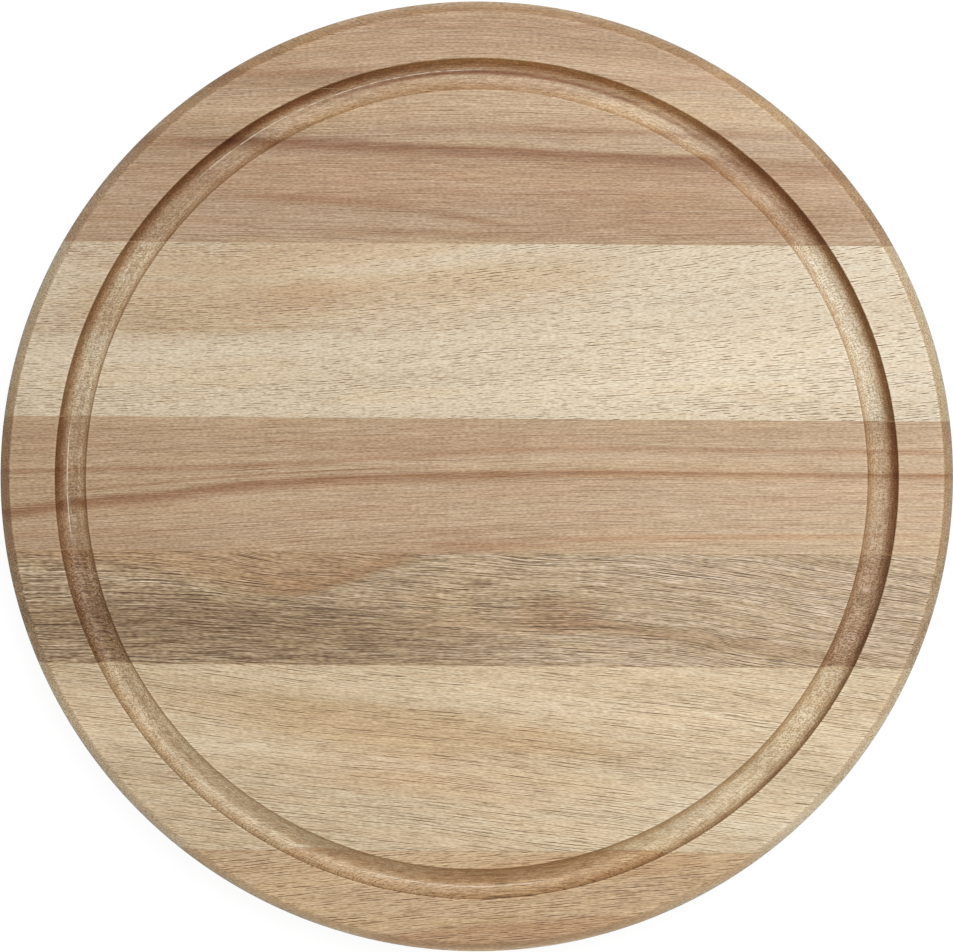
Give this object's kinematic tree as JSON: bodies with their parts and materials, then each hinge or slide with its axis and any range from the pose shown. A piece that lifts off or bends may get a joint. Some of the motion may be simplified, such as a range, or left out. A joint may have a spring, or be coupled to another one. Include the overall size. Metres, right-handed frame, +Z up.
{
  "type": "round serving board",
  "caption": "Round serving board of edge-glued hardwood staves, with a juice groove routed inside its rim and chamfered edges, for carving and serving food.",
  "frame": {"origin": "middle of the underside, on the surface the board lies on", "axes": "+Z up through the thickness, +X along the grain, +Y across the staves towards the rear rim"},
  "size_m": [0.35, 0.35, 0.018],
  "materials": {
    "rear_rim_wood": "oiled, pinkish brown",
    "rear_2_wood": "oiled, tan with a dark red streak",
    "rear_1_wood": "oiled, pale yellow with open pores",
    "middle_wood": "oiled, pinkish brown with a reddish streak",
    "front_1_wood": "oiled, dark grey brown with wavy grain",
    "front_2_wood": "oiled, yellow tan with open pores",
    "front_rim_wood": "oiled, tan with open pores",
    "glue": "dried wood glue"
  },
  "bodies": {
    "root": {"rear_rim_stave": "rear_rim_wood", "rear_stave_2": "rear_2_wood", "rear_stave_1": "rear_1_wood", "middle_stave": "middle_wood", "front_stave_1": "front_1_wood", "front_stave_2": "front_2_wood", "front_rim_stave": "front_rim_wood", "rear_glue_line_1": "glue", "rear_glue_line_2": "glue", "rear_glue_line_3": "glue", "front_glue_line_1": "glue", "front_glue_line_2": "glue", "front_glue_line_3": "glue"}
  },
  "joints": []
}
